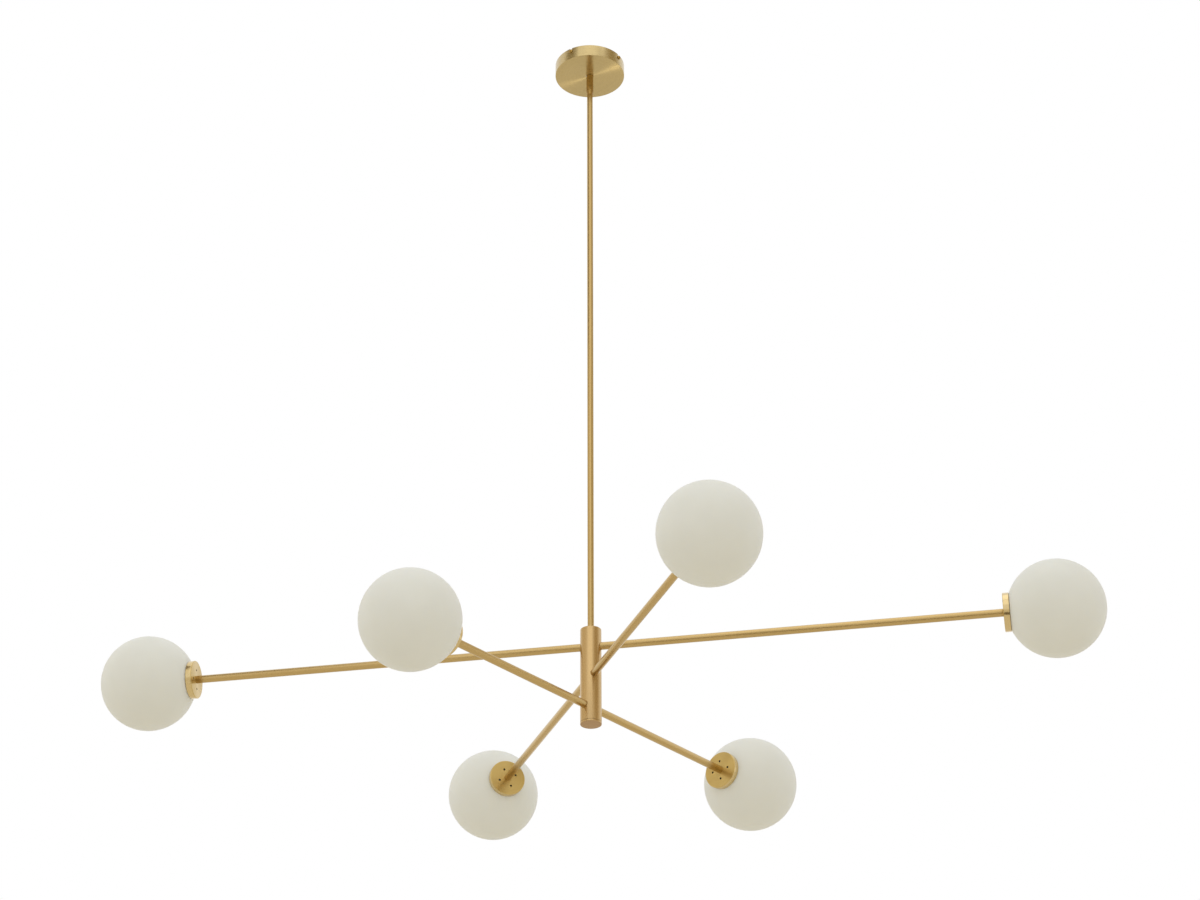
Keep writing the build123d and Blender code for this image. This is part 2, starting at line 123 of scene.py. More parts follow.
def brushedBrass(name, direction, look=None):
    # Satin brass, brushed with an abrasive belt: fine parallel lines that draw each highlight
    # out across them. Lines run along the tube, or round the axis on spun pieces.
    size = dict(brass, **(look or {}))
    perLine = 1 / (size["grain"] * mm)
    perStreak = 1 / (size["streak"] * mm)
    material, tree = newMaterial(name)
    place = addNode(tree, "TexCoord").outputs["Object"]
    if direction == "along":
        lineScale = (perLine, perLine, perLine / size["lineLength"])
        streakScale = (perStreak, perStreak, perStreak / size["streakLength"])
        fineAt = addNode(tree, "VectorMath", {0: place, 1: lineScale}, operation="MULTIPLY")
        wideAt = addNode(tree, "VectorMath", {0: place, 1: streakScale}, operation="MULTIPLY")
    else:
        flat = addNode(tree, "VectorMath", {0: place, 1: (1, 1, 0)}, operation="MULTIPLY")
        reach = addNode(tree, "VectorMath", {0: flat.outputs[0]}, operation="LENGTH")
        around = addNode(tree, "VectorMath", {0: flat.outputs[0]}, operation="NORMALIZE")
        height = addNode(tree, "SeparateXYZ", {0: place})
        rise = addNode(tree, "Math", {0: reach.outputs["Value"], 1: height.outputs["Z"]}, operation="ADD")
        up = addNode(tree, "CombineXYZ", {"Z": rise.outputs[0]})
        fine = addNode(tree, "VectorMath", {0: up.outputs[0], "Scale": perLine}, operation="SCALE")
        wide = addNode(tree, "VectorMath", {0: up.outputs[0], "Scale": perStreak}, operation="SCALE")
        fineAt = addNode(tree, "VectorMath", {0: fine.outputs[0], 1: around.outputs[0]}, operation="ADD")
        wideAt = addNode(tree, "VectorMath", {0: wide.outputs[0], 1: around.outputs[0]}, operation="ADD")
    lines = addNode(tree, "TexNoise", {
        "Vector": fineAt.outputs[0], "Scale": 1.0, "Detail": 2.0, "Roughness": 0.6})
    streaks = addNode(tree, "TexNoise", {
        "Vector": wideAt.outputs[0], "Scale": 1.0, "Detail": 3.0, "Roughness": 0.5})
    shade = addNode(tree, "Mix", {
        "Factor": streaks.outputs["Fac"],
        "A": linearColour(size["deep"]),
        "B": linearColour(size["mid"]),
    }, data_type="RGBA")
    gloss = addNode(tree, "MapRange", {
        "Value": lines.outputs["Fac"],
        "From Min": 0.3,
        "From Max": 0.7,
        "To Min": size["roughness"] - size["smoother"],
        "To Max": size["roughness"] + size["rougher"],
    })
    bump = addNode(tree, "Bump", {
        "Height": lines.outputs["Fac"],
        "Strength": size["lineStrength"],
        "Distance": size["lineDepth"] * mm,
    })
    tangent = addNode(tree, "Tangent", direction_type="RADIAL", axis="Z")
    shader = addNode(tree, "BsdfPrincipled", {
        "Base Color": shade.outputs["Result"],
        "Metallic": 1.0,
        "Roughness": gloss.outputs[0],
        "Normal": bump.outputs[0],
        "Tangent": tangent.outputs[0],
        "Anisotropic": size["draw"],
        "Anisotropic Rotation": 0.0 if direction == "along" else 0.25,
        "Coat Weight": size["lacquer"],
        "Coat Roughness": size["lacquerRoughness"],
    })
    finishMaterial(tree, shader)
    return material


# Screw colours darker than bare polished brass: painted shade.
screwLook = {
    "light": "B89A5A",
    "deep": "A58240",
    "wear": 1.111,           # mm between the brighter spots
    "smooth": 0.14,
    "rough": 0.26,
}


def polishedBrass():
    # Turned and polished brass screws: clear yellow glints, and a little wear. Both colours are darker than
    # bare brass, as painted shade.
    s = screwLook
    material, tree = newMaterial("polishedTurnedBrassPaintedShade")
    place = addNode(tree, "TexCoord").outputs["Object"]
    wear = addNode(tree, "TexNoise", {"Vector": place, "Scale": 1 / (s["wear"] * mm), "Detail": 2.0})
    shade = addNode(tree, "Mix", {
        "Factor": wear.outputs["Fac"],
        "A": linearColour(s["deep"]),
        "B": linearColour(s["light"]),
    }, data_type="RGBA")
    gloss = addNode(tree, "MapRange", {
        "Value": wear.outputs["Fac"], "To Min": s["smooth"], "To Max": s["rough"]})
    shader = addNode(tree, "BsdfPrincipled", {
        "Base Color": shade.outputs["Result"], "Metallic": 1.0, "Roughness": gloss.outputs[0]})
    finishMaterial(tree, shader)
    return material


opalLook = {
    "light": "E4E4DD",
    "deep": "DEDED6",
    "cloud": 45.0,           # mm, cloudiness of the opal layer
    "etching": 0.5,          # mm, drawn coarser than real so that it shows
    "etchingDepth": 0.02,    # mm
    "etchingStrength": 0.15,
    "smooth": 0.5,
    "rough": 0.62,
    "milk": 0.25,            # share of the light that spreads under the skin
    "spread": 4.0,           # mm
}


def opalGlass():
    # Mouth-blown opal glass, acid-etched outside: matt, warm white, soft under its skin.
    s = opalLook
    material, tree = newMaterial("etchedOpalGlass")
    place = addNode(tree, "TexCoord").outputs["Object"]
    cloud = addNode(tree, "TexNoise", {"Vector": place, "Scale": 1 / (s["cloud"] * mm), "Detail": 2.0})
    grain = addNode(tree, "TexNoise", {"Vector": place, "Scale": 1 / (s["etching"] * mm), "Detail": 2.0})
    shade = addNode(tree, "Mix", {
        "Factor": cloud.outputs["Fac"],
        "A": linearColour(s["deep"]),
        "B": linearColour(s["light"]),
    }, data_type="RGBA")
    gloss = addNode(tree, "MapRange", {
        "Value": grain.outputs["Fac"], "To Min": s["smooth"], "To Max": s["rough"]})
    bump = addNode(tree, "Bump", {
        "Height": grain.outputs["Fac"],
        "Strength": s["etchingStrength"],
        "Distance": s["etchingDepth"] * mm,
    })
    shader = addNode(tree, "BsdfPrincipled", {
        "Base Color": shade.outputs["Result"],
        "Roughness": gloss.outputs[0],
        "IOR": 1.5,
        "Normal": bump.outputs[0],
        "Subsurface Weight": s["milk"],
        "Subsurface Radius": (1.0, 0.9, 0.7),  # red light spreads furthest
        "Subsurface Scale": s["spread"] * mm,
    })
    finishMaterial(tree, shader)
    return material


plainLook = {
    "cloud": 12,             # size of the slow change of colour, in grains
    "glossSpread": 0.08,
    "grainStrength": 0.4,
}


def plainMaterial(name, dark, light, roughness, grain, depth, metallic=0.0, ior=1.5):
    # A moulded, pressed or plated surface: two close colours and a fine grain of a real size in mm
    s = plainLook
    material, tree = newMaterial(name)
    place = addNode(tree, "TexCoord").outputs["Object"]
    noise = addNode(tree, "TexNoise", {"Vector": place, "Scale": 1 / (grain * mm), "Detail": 3.0})
    cloud = addNode(tree, "TexNoise", {
        "Vector": place, "Scale": 1 / (s["cloud"] * grain * mm), "Detail": 2.0})
    shade = addNode(tree, "Mix", {
        "Factor": cloud.outputs["Fac"],
        "A": linearColour(dark),
        "B": linearColour(light),
    }, data_type="RGBA")
    gloss = addNode(tree, "MapRange", {
        "Value": noise.outputs["Fac"],
        "To Min": roughness - s["glossSpread"],
        "To Max": roughness + s["glossSpread"],
    })
    bump = addNode(tree, "Bump", {
        "Height": noise.outputs["Fac"], "Strength": s["grainStrength"], "Distance": depth * mm})
    inputs = {
        "Base Color": shade.outputs["Result"],
        "Roughness": gloss.outputs[0],
        "Metallic": metallic,
        "Normal": bump.outputs[0],
    }
    if not metallic:
        inputs["IOR"] = ior
    shader = addNode(tree, "BsdfPrincipled", inputs)
    finishMaterial(tree, shader)
    return material


tubeBrass = brushedBrass("satinBrushedBrassTube", "along")
armBrass = brushedBrass("satinBrushedBrassArm", "along", {"mid": "CAAD75", "deep": "C0A267"})
# The collar is turned satin brass; its colours are darker than the tubes' as painted shade.
collarShadedBrass = brushedBrass("satinTurnedBrassCollarPaintedShade", "round", {
    "mid": "BF9F62", "deep": "B69657", "roughness": 0.2})
# The taper's brass is darker still: painted shade that keeps a highlight off the taper.
taperShadeBrass = brushedBrass("paintedShadeBrassTaper", "round", {
    "mid": "AA8646", "deep": "A17D3D", "roughness": 0.26})
hubBrass = brushedBrass("satinTurnedBrassHub", "along", {
    "mid": "CAAA76", "deep": "C2A26E", "roughness": 0.23, "lacquer": 0.3})
spunBrass = brushedBrass("satinSpunBrass", "round", {
    "mid": "CBB580", "deep": "C3AB73", "roughness": 0.25, "draw": 1.0, "lacquer": 0.6})
holderBrass = brushedBrass("satinTurnedBrassDisc", "round", {
    "mid": "D4B976", "deep": "C9AC68", "roughness": 0.34, "draw": 0.85, "lacquer": 0.4})
# The rim is turned finer and is smoother; its lighter colour is a painted highlight for a bright line round
# each disc.
rimHighlightBrass = brushedBrass("fineTurnedBrassRimPaintedHighlight", "round", {
    "mid": "DEC694", "deep": "D3BA81", "roughness": 0.2, "draw": 0.5, "lacquer": 0.5})
blastedBrass = plainMaterial("beadBlastedBrass", "B4936B", "BD9D76", 0.46, 0.4, 0.02, metallic=1.0)
# Near black in the vents' bores: painted shade, so that the vents read dark.
ventBoreShadeBrass = plainMaterial("paintedShadeVentBoreBrass", "22160F", "302014", 0.6, 0.3, 0.01, metallic=0.2)
screwShadedBrass = polishedBrass()
opal = opalGlass()
zinc = plainMaterial("zincPlatedSteel", "A9ACAE", "C3C6C6", 0.32, 0.6, 0.01, metallic=1.0)
steatite = plainMaterial("unglazedSteatite", "E2DDD0", "EFEBE1", 0.6, 0.35, 0.03, ior=1.6)
frosted = plainMaterial("frostedLampGlass", "E6E4DC", "F1F0EA", 0.42, 0.5, 0.01)
lampBasePlastic = plainMaterial("mouldedPbt", "DEDDD6", "E8E7E1", 0.45, 0.4, 0.01, ior=1.57)
pinNickel = plainMaterial("nickelPlatedPin", "B4AFA4", "CBC6BB", 0.22, 0.4, 0.004, metallic=1.0)
nylon = plainMaterial("naturalNylon", "DDD9CC", "E8E5DA", 0.5, 0.4, 0.015, ior=1.53)
silicone = plainMaterial("translucentSilicone", "D2D0C6", "DEDCD3", 0.55, 0.5, 0.01, ior=1.41)
print("materials made")


# Shapes, drawn in mm along their own Z

weld = 0.0005  # mm, points closer than this are one
past = 1.0     # mm, how far a cutter stands past what it cuts


def roundCorners(corners, steps=5):  # corners are (radius, height, fillet), in order round the section
    outline = []
    for i, (r, z, fillet) in enumerate(corners):
        here = Vector((r, z))
        if not fillet:
            outline.append(here)
            continue
        before = (Vector(corners[i - 1][:2]) - here).normalized()
        after = (Vector(corners[(i + 1) % len(corners)][:2]) - here).normalized()
        half = acos(max(-1, min(1, before.dot(after)))) / 2
        centre = here + (before + after).normalized() * fillet / sin(half)
        start = here + before * fillet / tan(half) - centre
        end = here + after * fillet / tan(half) - centre
        outline += [centre + start.lerp(end, s / steps).normalized() * fillet for s in range(steps + 1)]
    return outline


def arc(r, z, radius, start, end, steps):  # angles in degrees, from the radius axis towards +Z
    turns = [radians(start + (end - start) * s / steps) for s in range(steps + 1)]
    return [Vector((r + radius * cos(t), z + radius * sin(t))) for t in turns]


def fullTurn(around):
    return [2 * pi * k / around for k in range(around)]


def skin(rings):  # a closed skin over rings of points, the last ring joined to the first
    bm = bmesh.new()
    rows = [[bm.verts.new(p) for p in ring] for ring in rings]
    for row, above in zip(rows, rows[1:] + rows[:1]):
        for k in range(len(row)):
            n = (k + 1) % len(row)
            bm.faces.new((row[k], row[n], above[n], above[k]))
    bmesh.ops.remove_doubles(bm, verts=bm.verts, dist=weld)
    bmesh.ops.delete(bm, geom=[e for e in bm.edges if not e.link_faces], context="EDGES")
    bmesh.ops.recalc_face_normals(bm, faces=bm.faces)
    return bm


def lathe(outline, around=96):
    turns = fullTurn(around)
    return skin([[(r * cos(t), r * sin(t), z) for t in turns] for r, z in outline])


def threadedTube(outer, bore, bottom, top, pitch=1.0, depth=0.55, around=48, rowsPerPitch=8):
    # the ridge climbs one pitch in each turn
    turns = fullTurn(around)
    rows = ceil((top - bottom) / pitch * rowsPerPitch)
    rings = [[(bore * cos(t), bore * sin(t), bottom) for t in turns]]
    for i in range(rows + 1):
        z = bottom + (top - bottom) * i / rows
        ring = []
        for k, t in enumerate(turns):
            phase = (z / pitch - k / around) % 1
            crest = outer - depth * abs(2 * phase - 1)
            r = min(crest, outer - depth + min(z - bottom, top - z))  # run-out at both ends
            ring.append((r * cos(t), r * sin(t), z))
        rings.append(ring)
    rings.append([(x, y, top) for x, y, z in rings[0]])
    return skin(rings)


def hexNut(flats, bore, bottom, top, edge=0.3, chamferAt=0.97, chamferTurn=30, around=72):
    # the chamfer cuts the corners of the hexagon to a circle just inside the flats
    turns = fullTurn(around)
    hexagon = [flats / 2 / cos((t + pi / 6) % (pi / 3) - pi / 6) for t in turns]
    face = flats / 2 * chamferAt
    slope = tan(radians(chamferTurn))
    low = [(r * cos(t), r * sin(t), bottom + max(0, r - face) * slope) for r, t in zip(hexagon, turns)]
    high = [(x, y, bottom + top - z) for x, y, z in low]
    under = ((bore, bottom + edge), (bore + edge, bottom), (face, bottom))
    over = ((face, top), (bore + edge, top), (bore, top - edge))
    rings = [[(r * cos(t), r * sin(t), z) for t in turns] for r, z in under]
    rings += [low, high]
    rings += [[(r * cos(t), r * sin(t), z) for t in turns] for r, z in over]
    return skin(rings)


def block(low, high):
    bm = bmesh.new()
    bmesh.ops.create_cube(bm, size=1)
    middle = (Vector(low) + Vector(high)) / 2
    bm.transform(Matrix.Translation(middle) @ Matrix.Diagonal((*(Vector(high) - Vector(low)), 1)))
    return bm


def gather(shape, places):  # copies of one shape at several places, in one mesh
    whole = bmesh.new()
    mesh = bpy.data.meshes.new("copy")
    for place in places:
        part = shape.copy()
        part.transform(place)
        part.to_mesh(mesh)
        part.free()
        whole.from_mesh(mesh)
    shape.free()
    bpy.data.meshes.remove(mesh)
    return whole


def carve(shape, cutter):  # the first shape less the second
    objects = []
    for name, part in (("kept", shape), ("cutter", cutter)):
        mesh = bpy.data.meshes.new(name)
        part.to_mesh(mesh)
        part.free()
        objects.append(bpy.data.objects.new(name, mesh))
        bpy.context.scene.collection.objects.link(objects[-1])
    kept, tool = objects
    cut = kept.modifiers.new("cut", "BOOLEAN")
    cut.operation = "DIFFERENCE"
    cut.solver = "EXACT"
    cut.object = tool
    result = bmesh.new()
    result.from_object(kept, bpy.context.evaluated_depsgraph_get())
    for item in objects:
        bpy.data.meshes.remove(item.data)
    return result


def newPiece(name, bm, material, place, body, nodes, sharp=32):
    # edges that turn by more than sharp, in degrees, show as edges
    bmesh.ops.scale(bm, vec=(mm, mm, mm), verts=bm.verts)
    mesh = bpy.data.meshes.new(name)
    bm.to_mesh(mesh)
    bm.free()
    mesh.shade_smooth()
    mesh.set_sharp_from_angle(angle=radians(sharp))
    mesh.materials.append(material)
    piece = bpy.data.objects.new(name, mesh)
    bpy.context.scene.collection.objects.link(piece)
    piece.matrix_world = place
    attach(piece, body)
    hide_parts(*nodes)
    return piece


def addFinish(piece, finish, belongs):  # for the faces whose centre in mm and direction belong to it
    piece.data.materials.append(finish)
    for face in piece.data.polygons:
        if belongs(face.center / mm, face.normal):
            face.material_index = len(piece.data.materials) - 1


# Where things are

anywhere = 1e9   # mm
nearOne = 60.0   # mm, keeps one copy of the nodes that have a copy at each light


def standAlong(outward, centre):  # a place whose Z runs outward and whose X points up
    outward = Vector(outward).normalized()
    side = outward.cross(Vector((0, 0, 1)))
    turn = Matrix(((0, 0, 1), side, outward)).transposed().to_4x4()
    return Matrix.Translation(centre) @ turn


def inMillimetres(place):
    scaled = place.copy()
    scaled.translation = place.translation / mm
    return scaled


def span(node, place=Matrix.Identity(4), near=anywhere):
    # radius, lowest and highest point of a CAD node about the Z of a place, in mm
    inside = place.inverted()
    points = [(inside @ v.co) / mm for v in frame["nodes"][node].data.vertices]
    points = [p for p in points if p.length < near]
    return max(hypot(p.x, p.y) for p in points), min(p.z for p in points), max(p.z for p in points)


upright = Matrix.Identity(4)
lights = sorted(n[len("globe_"):] for n in frame["nodes"] if n.startswith("globe_"))
jointAxis = {j["name"]: Vector(j["axis"]) for j in frame["joints"]}
lightPlace = {}  # at the middle of each holder's back, with Z towards the globe
for light in lights:
    outward = jointAxis[f"globe_{light}_off"]
    low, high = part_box(f"holder_{light}")
    back = min(v.co.dot(outward) for v in frame["nodes"][f"holder_{light}"].data.vertices)
    lightPlace[light] = standAlong(outward, outward * back + Vector((0, 0, (low.z + high.z) / 2)))


# Canopy and its side screws

canopySize = {
    "wall": 1.2,
    "edge": 0.7,          # rounding of the lower edge
    "insideEdge": 0.6,
    "rim": 0.3,
    "collarHole": 6.4,
    "holeEdge": 0.3,
    "screwTurn": -22.5,   # degrees
    "screwDrop": 6.5,     # below the ceiling
    "notch": 2.4,         # half the width of the notches that slip over the screws
    "notchInside": 6.0,   # how far their cutter reaches inside, outside and above the wall
    "notchOutside": 4.0,
    "notchUp": 12.0,
    "headRadius": 3.5,
    "headHeight": 2.6,
    "headEdge": 0.5,      # straight part under the dome
    "headGap": 0.3,       # from the wall to the head
    "shank": 2.0,
    "shankLength": 9.0,
    "shankChamfer": 0.3,
    "slot": 0.8,
    "slotDepth": 0.9,
    "slotReach": 6.0,
}


def screwPlaces():
    places = []
    for quarter in range(4):
        turn = radians(canopySize["screwTurn"] + 90 * quarter)
        places.append(standAlong((cos(turn), sin(turn), 0), (0, 0, -canopySize["screwDrop"])))
    return places


def canopyShape():
    s = canopySize
    r, face, rim = span("canopy")
    shell = lathe(roundCorners([
        (s["collarHole"], face, s["holeEdge"]),
        (r, face, s["edge"]),
        (r, rim, s["rim"]),
        (r - s["wall"], rim, s["rim"]),
        (r - s["wall"], face + s["wall"], s["insideEdge"]),
        (s["collarHole"], face + s["wall"], s["holeEdge"]),
    ]), around=160)
    start = r - s["notchInside"]
    end = r + s["notchOutside"]
    notchRound = lathe([(0, start), (s["notch"], start), (s["notch"], end), (0, end)], around=32)
    notchOpen = block((0, -s["notch"], start), (s["notchUp"], s["notch"], end))
    shell = carve(shell, gather(notchRound, screwPlaces()))
    return carve(shell, gather(notchOpen, screwPlaces()))


def canopyScrewShape():
    s = canopySize
    start = span("canopy")[0] + s["headGap"]
    end = start - s["shankLength"]
    top = start + s["headHeight"]
    crown = s["headHeight"] - s["headEdge"]
    turns = [radians(a) for a in range(0, 91, 9)]
    dome = [(s["headRadius"] * cos(t), start + s["headEdge"] + crown * sin(t)) for t in turns]
    outline = [(0, end), (s["shank"], end + s["shankChamfer"]), (s["shank"], start), (s["headRadius"], start)]
    outline += dome[:-1] + [(0, dome[-1][1])]
    reach, half = s["slotReach"], s["slot"] / 2
    slot = block((-reach, -half, top - s["slotDepth"]), (reach, half, top + past))
    return carve(lathe(outline, around=40), slot)


newPiece("canopy_spun", canopyShape(), spunBrass, upright, "canopy", ["canopy"])
newPiece("canopy_screws_domed", gather(canopyScrewShape(), screwPlaces()), screwShadedBrass, upright,
         "ceiling", ["canopy_screws"])
print("canopy done")


# Stem: collar, drop rod and the threaded piece that hangs them in the bracket

stemSize = {
    "collarBore": 5.05,
    "collarEdge": 0.3,
    "boreEdge": 0.2,
    "lip": 0.08,          # what the taper leaves at its end
    "lipEdge": 0.03,
    "taper": 8.5,
    "taperRound": 4.0,
    "rodWall": 1.0,
    "nippleBore": 3.5,
    "nutFlats": 14.0,
    "nutBore": 4.6,
}
tubeSize = {"edge": 0.3, "boreEdge": 0.2}


def collarShape():
    s = stemSize
    r, end, top = span("stem_collar")
    return lathe(roundCorners([
        (s["collarBore"], end, 0),
        (s["collarBore"] + s["lip"], end, s["lipEdge"]),
        (r, end + s["taper"], s["taperRound"]),
        (r, top, s["collarEdge"]),
        (s["collarBore"], top, s["boreEdge"]),
    ]), around=72)


def tubeShape(node, place, wall, around=72):
    s = tubeSize
    r, start, end = span(node, place)
    return lathe(roundCorners([
        (r - wall, start, s["boreEdge"]),
        (r, start, s["edge"]),
        (r, end, s["edge"]),
        (r - wall, end, s["boreEdge"]),
    ]), around)


def nippleShape(node, place, near=anywhere):
    r, start, end = span(node, place, near)
    return threadedTube(r, stemSize["nippleBore"], start, end)


def nutShape(node, place, near=anywhere):
    r, bottom, top = span(node, place, near)
    return hexNut(stemSize["nutFlats"], stemSize["nutBore"], bottom, top)


collar = newPiece("stem_collar_sleeve", collarShape(), collarShadedBrass, upright,
                  "stem", ["stem_collar"])
taperTop = span("stem_collar")[1] + stemSize["taper"]
# the taper's faces take the darker brass, as painted shade
addFinish(collar, taperShadeBrass, lambda centre, normal: centre.z < taperTop)
newPiece("drop_rod_tube", tubeShape("drop_rod", upright, stemSize["rodWall"]), tubeBrass, upright,
         "stem", ["drop_rod"])
newPiece("stem_nipple_thread", nippleShape("stem_nipple", upright), zinc, upright,
         "stem", ["stem_nipple"])
newPiece("stem_nut_hex", nutShape("stem_nut", upright), zinc, upright,
         "stem", ["stem_nut"])
newPiece("hub_nut_hex", nutShape("hub_nut", upright), zinc, upright,
         "stem", ["hub_nut"])
print("stem done")


# Hub, its cap and the three arms

hubSize = {
    "wall": 2.0,
    "top": 4.0,
    "topEdge": 1.0,
    "insideEdge": 0.5,
    "seamEdge": 0.35,
    "boreEdge": 0.2,
    "rodHole": 5.05,
    "armGap": 0.12,
    "drillPast": 8.0,
    "capDisc": 3.0,
    "capEdge": 0.5,
    "spigotWall": 2.0,
    "spigotGap": 0.3,
    "spigotPitch": 1.0,
    "spigotThread": 0.5,  # depth of its thread, which starts and stops clear of both ends
    "threadStart": 0.8,
    "threadStop": 1.2,
    "spigotTip": 0.3,
}
armWall = 0.95
armLight = {  # the light at each arm's +Z end
    "long": "long_right",
    "middle": "middle_near",
    "short": "short_near",
}
armPlace = {}
for arm, light in armLight.items():
    low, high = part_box("arm_" + arm)
    armPlace[arm] = standAlong(jointAxis[f"globe_{light}_off"], (0, 0, (low.z + high.z) / 2))


def hubShape():
    s = hubSize
    r, bottom, top = span("hub_body")
    shell = lathe(roundCorners([
        (s["rodHole"], top, s["boreEdge"]),
        (r, top, s["topEdge"]),
        (r, bottom, s["seamEdge"]),
        (r - s["wall"], bottom, s["boreEdge"]),
        (r - s["wall"], top - s["top"], s["insideEdge"]),
        (s["rodHole"], top - s["top"], s["boreEdge"]),
    ]), around=144)
    reach = r + s["drillPast"]
    for arm, place in armPlace.items():
        hole = span("arm_" + arm, place)[0] + s["armGap"]
        drill = lathe([(0, -reach), (hole, -reach), (hole, reach), (0, reach)], around=64)
        drill.transform(inMillimetres(place))
        shell = carve(shell, drill)
    return shell


def capShape():
    s = hubSize
    r, bottom, top = span("hub_cap")
    shoulder = bottom + s["capDisc"]
    crest = r - s["wall"] - s["spigotGap"]
    root = crest - s["spigotThread"]
    bore = crest - s["spigotWall"]
    disc = roundCorners([
        (0, bottom, 0),
        (r, bottom, s["capEdge"]),
        (r, shoulder, s["seamEdge"]),
        (0, shoulder, 0),
    ])
    outline = disc[:-1] + [(root, shoulder)]
    z = shoulder + s["threadStart"]
    while z < top - s["threadStop"]:
        outline += [(root, z), (crest, z + s["spigotPitch"] / 2)]
        z += s["spigotPitch"]
    outline += [(root, z), (root, top - s["spigotTip"]), (root - s["spigotTip"], top)]
    outline += [(bore, top), (bore, shoulder), (0, shoulder)]
    return lathe([tuple(p) for p in outline], around=120)


newPiece("hub_cylinder", hubShape(), hubBrass, upright, "stem", ["hub_body"])
cap = newPiece("hub_cap_disc", capShape(), hubBrass, upright, "hub_cap", ["hub_cap"])
addFinish(cap, blastedBrass, lambda centre, normal: normal.z < -0.9)  # only the flat base is blasted
for arm, place in armPlace.items():
    newPiece("arm_" + arm + "_tube", tubeShape("arm_" + arm, place, armWall), armBrass, place,
             "stem", ["arm_" + arm])
print("hub and arms done")


# Globe holders: turned discs with four vents, each stopped at its own angle

holderSize = {
    "floor": 1.8,
    "wall": 1.8,
    "backEdge": 1.1,
    "lip": 0.5,
    "insideEdge": 0.6,
    "hole": 5.05,
    "ventRadius": 1.8,
    "ventRing": 15.0,
    "ventChamfer": 0.1,
    "ventDrill": 3.0,     # how deep the drill goes
}
ventTurn = {  # degrees from the disc's top
    "long_right": 20.0,
    "long_left": 75.0,
    "middle_near": 35.0,
    "middle_far": 66.5,
    "short_near": 60.0,
    "short_far": 88.0,
}


def holderShape(light):
    s = holderSize
    r, _, front = span("holder_" + light, lightPlace[light])
    disc = lathe(roundCorners([
        (s["hole"], 0, 0),
        (r, 0, s["backEdge"]),
        (r, front, s["lip"]),
        (r - s["wall"], front, s["lip"]),
        (r - s["wall"], s["floor"], s["insideEdge"]),
        (s["hole"], s["floor"], 0),
    ]), around=128)
    wide = s["ventRadius"] + s["ventChamfer"]
    vent = lathe([
        (0, -past),
        (wide + past, -past),
        (s["ventRadius"], s["ventChamfer"]),
        (s["ventRadius"], s["ventDrill"]),
        (0, s["ventDrill"]),
    ], around=32)
    turns = [radians(ventTurn[light] + 90 * k) for k in range(4)]
    places = [Matrix.Translation((s["ventRing"] * cos(t), s["ventRing"] * sin(t), 0)) for t in turns]
    return carve(disc, gather(vent, places))


sideways = 0.3   # the most Z that the direction of a face on the rim or in a vent has
rimDepth = 0.2   # mm, how far inside the disc's radius a face still counts as its rim


def facesSideways(normal):
    return abs(normal.z) < sideways


def inVent(centre, normal):
    s = holderSize
    fromRing = abs(hypot(centre.x, centre.y) - s["ventRing"])
    return facesSideways(normal) and fromRing < s["ventRadius"] + s["ventChamfer"] and centre.z < s["floor"]


def onRim(centre, normal):
    return facesSideways(normal) and hypot(centre.x, centre.y) > holderRadius - rimDepth


# Gaskets and opal globes, blown to 3 mm with a fire-polished neck

gasketSize = {"width": 4.0, "edge": 0.3}
globeSize = {"wall": 3.0, "neck": 27.9}


def gasketShape(light):
    s = gasketSize
    r, low, high = span("gasket_" + light, lightPlace[light])
    inner = r - s["width"]
    return lathe(roundCorners([
        (inner, low, s["edge"]),
        (r, low, s["edge"]),
        (r, high, s["edge"]),
        (inner, high, s["edge"]),
    ], steps=3))


def globeShape(light):
    s = globeSize
    r, low, high = span("globe_" + light, lightPlace[light])
    centre = high - r
    bead = s["wall"] / 2
    inside = r - s["wall"]
    bore = s["neck"] - s["wall"]
    outline = arc(s["neck"] - bead, low + bead, bead, 180, 360, 12)
    outline += arc(0, centre, r, -degrees(acos(s["neck"] / r)), 90, 72)
    outline += arc(0, centre, inside, 90, -degrees(acos(bore / inside)), 48)
    globe = lathe(outline, around=128)
    globe.transform(inMillimetres(lightPlace[light]))  # so that its box lies along the frame's axes
    return globe


holderRadius = span("holder_" + lights[0], lightPlace[lights[0]])[0]
for light in lights:
    place = lightPlace[light]
    disc = newPiece(f"holder_{light}_disc", holderShape(light), holderBrass, place,
                    "stem", ["holder_" + light])
    # the vents' bore walls take the near-black brass, as painted shade
    addFinish(disc, ventBoreShadeBrass, inVent)
    # the rim faces take the lighter brass, a painted highlight
    addFinish(disc, rimHighlightBrass, onRim)
    newPiece(f"gasket_{light}_ring", gasketShape(light), silicone, place,
             "stem", ["gasket_" + light])
    newPiece(f"globe_{light}_glass", globeShape(light), opal, upright,
             "globe_" + light, ["globe_" + light])
print("holders and globes done")


# Sockets, lamps and their fastenings, seen once a globe is off

socketSize = {
    "body": 8.3,
    "bodyEdge": 0.6,
    "headHeight": 8.0,
    "edge": 1.0,
    "underEdge": 0.5,     # the two edges of the step under the head
    "stepEdge": 0.4,
    "pinSpacing": 9.0,
    "slot": (1.6, 3.7),
    "slotDepth": 8.7,
}
lampSize = {
    "seatGap": 0.3,       # from the socket's face to the base
    "base": 7.4,
    "baseHeight": 9.0,
    "baseEdge": 0.6,
    "topEdge": 0.3,
    "ribs": 3,
    "ribDepth": 0.5,
    "ribEdge": 0.2,
    "ribRound": 0.4,
    "sunk": 1.0,          # of the glass in the base
    "throat": 0.8,        # how far the glass draws in over the base
    "throatHeight": 0.4,
    "shoulder": 1.6,
    "shoulderRound": 1.0,
    "dome": 6.5,
    "pinWire": 0.45,
    "pinWidth": 3.0,
    "pinSunk": 0.5,
}
pinPlaces = [Matrix.Translation((x * socketSize["pinSpacing"] / 2, 0, 0)) for x in (-1, 1)]


